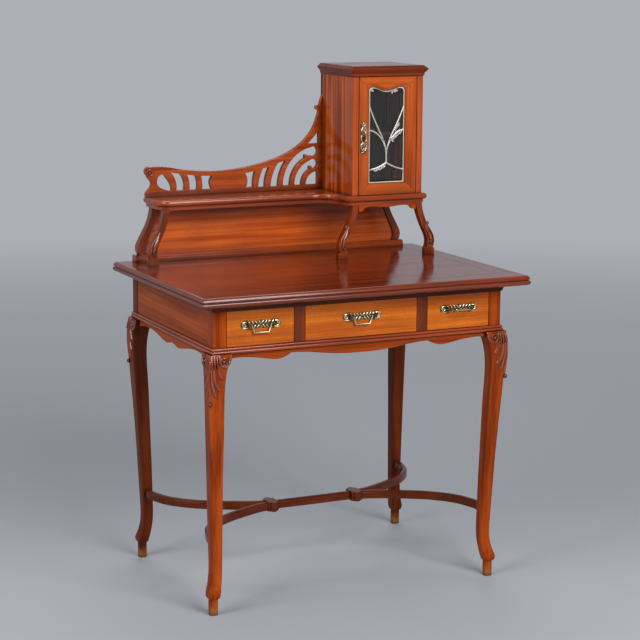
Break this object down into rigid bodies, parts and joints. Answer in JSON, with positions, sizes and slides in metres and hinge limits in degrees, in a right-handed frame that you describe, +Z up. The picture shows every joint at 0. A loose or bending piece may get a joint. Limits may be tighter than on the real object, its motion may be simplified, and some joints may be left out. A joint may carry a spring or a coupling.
{
  "type": "writing_desk",
  "caption": "Small antique mahogany writing desk with frieze drawers, curved legs, shaped stretcher, pierced gallery and a little glazed cabinet",
  "frame": {"origin": "on the floor under the centre of the writing top", "axes": "+X to the sitter's right, +Y to the back, +Z up; the drawers face -Y"},
  "size_m": [0.844, 0.6, 1.241],
  "materials": {
    "red_mahogany": "waxed red-brown mahogany",
    "honey_mahogany": "waxed honey-coloured mahogany",
    "polished_top": "polished dark mahogany",
    "inner_oak": "unpolished inside timber",
    "aged_brass": "aged cast brass",
    "lock_steel": "dull iron",
    "lead_came": "bright leading",
    "clear_glass": "clear bevelled glass"
  },
  "bodies": {
    "desk": {"back_board": "red_mahogany", "back_plinth": "red_mahogany", "back_rail": "red_mahogany", "bracket_back_left": "red_mahogany", "bracket_back_right": "red_mahogany", "brackets_front": "red_mahogany", "cabinet_back": "inner_oak", "cabinet_cornice": "red_mahogany", "cabinet_inner_shelf": "inner_oak", "cabinet_sides": "red_mahogany", "cabinet_stiles": "red_mahogany", "cabinet_valance": "red_mahogany", "drawer_dividers": "red_mahogany", "drawer_runners": "inner_oak", "fretwork": "red_mahogany", "frieze_bead": "red_mahogany", "front_drawer_rail": "red_mahogany", "front_top_rail": "red_mahogany", "gallery_shelf": "red_mahogany", "leg_back_left": "red_mahogany", "leg_back_right": "red_mahogany", "leg_front_left": "red_mahogany", "leg_front_right": "red_mahogany", "pivot_plates_case": "lock_steel", "side_rail_left": "red_mahogany", "side_rail_right": "red_mahogany", "side_valances": "red_mahogany", "stretcher_arms": "red_mahogany", "stretcher_bar": "red_mahogany", "stretcher_collars": "red_mahogany", "top_borders": "polished_top", "top_cove_moulding": "red_mahogany", "top_panel": "polished_top", "valance_front": "red_mahogany"},
    "drawer_left": {"drawer_left_bottom": "inner_oak", "drawer_left_box": "inner_oak", "drawer_left_front": "honey_mahogany", "drawer_left_pull": "aged_brass"},
    "drawer_middle": {"drawer_lock": "lock_steel", "drawer_middle_bottom": "inner_oak", "drawer_middle_box": "inner_oak", "drawer_middle_front": "honey_mahogany", "drawer_middle_pull": "aged_brass"},
    "drawer_right": {"drawer_right_bottom": "inner_oak", "drawer_right_box": "inner_oak", "drawer_right_front": "honey_mahogany", "drawer_right_pull": "aged_brass"},
    "bail_left": {"drawer_left_bail": "aged_brass"},
    "bail_middle": {"drawer_middle_bail": "aged_brass"},
    "bail_right": {"drawer_right_bail": "aged_brass"},
    "door": {"door_came": "lead_came", "door_escutcheon": "aged_brass", "door_frame": "honey_mahogany", "door_glass": "clear_glass", "door_lock": "lock_steel", "pivot_pins": "lock_steel", "pivot_plates_door": "lock_steel"},
    "drawer_bolt": {"drawer_lock_bolt": "lock_steel"},
    "door_bolt": {"door_lock_bolt": "lock_steel"}
  },
  "joints": [
    {"name": "drawer_left_slide", "type": "slide", "parent": "desk", "child": "drawer_left", "axis": [0, -1, 0], "range_m": [0, 0.25]},
    {"name": "drawer_middle_slide", "type": "slide", "parent": "desk", "child": "drawer_middle", "axis": [0, -1, 0], "range_m": [0, 0.25]},
    {"name": "drawer_right_slide", "type": "slide", "parent": "desk", "child": "drawer_right", "axis": [0, -1, 0], "range_m": [0, 0.25]},
    {"name": "bail_left_hinge", "type": "hinge", "parent": "drawer_left", "child": "bail_left", "pos_m": [-0.2575, -0.2478, 0.683], "axis": [-1, 0, 0], "range_deg": [0, 85]},
    {"name": "bail_middle_hinge", "type": "hinge", "parent": "drawer_middle", "child": "bail_middle", "pos_m": [0, -0.2478, 0.683], "axis": [-1, 0, 0], "range_deg": [0, 85]},
    {"name": "bail_right_hinge", "type": "hinge", "parent": "drawer_right", "child": "bail_right", "pos_m": [0.2575, -0.2478, 0.683], "axis": [-1, 0, 0], "range_deg": [-88, 5]},
    {"name": "door_hinge", "type": "hinge", "parent": "desk", "child": "door", "pos_m": [0.313, 0.108, 1.0665], "axis": [0, 0, 1], "range_deg": [0, 110]},
    {"name": "drawer_bolt_slide", "type": "slide", "parent": "drawer_middle", "child": "drawer_bolt", "axis": [0, 0, 1], "range_m": [0, 0.007]},
    {"name": "door_bolt_slide", "type": "slide", "parent": "door", "child": "door_bolt", "axis": [-1, 0, 0], "range_m": [0, 0.007]}
  ]
}
